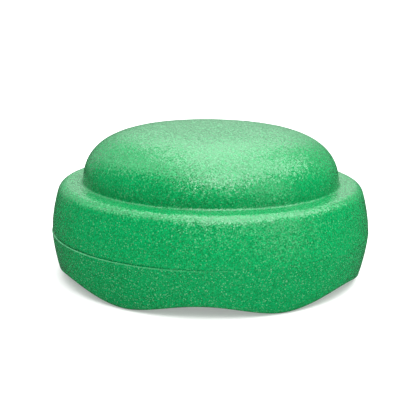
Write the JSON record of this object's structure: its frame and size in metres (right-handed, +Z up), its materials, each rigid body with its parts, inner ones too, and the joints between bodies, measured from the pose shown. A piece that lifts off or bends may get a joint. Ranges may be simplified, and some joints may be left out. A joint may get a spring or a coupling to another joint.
{
  "type": "stacking balance pad",
  "caption": "Round hollow foam stepping pad with a flat-crowned dome, a stacking shoulder round it and a wavy foot rim, open underneath.",
  "frame": {"origin": "middle of the round footprint, on the floor under the feet", "axes": "+Z up through the top of the dome; a foot lies on each side of the X axis, and an arch faces each way along Y"},
  "size_m": [0.275, 0.275, 0.1274],
  "materials": {
    "bead_foam": "moulded bead foam with a fine speckled grain, matt"
  },
  "bodies": {
    "root": {"upper_shell": "bead_foam", "base_ring": "bead_foam"}
  },
  "joints": []
}
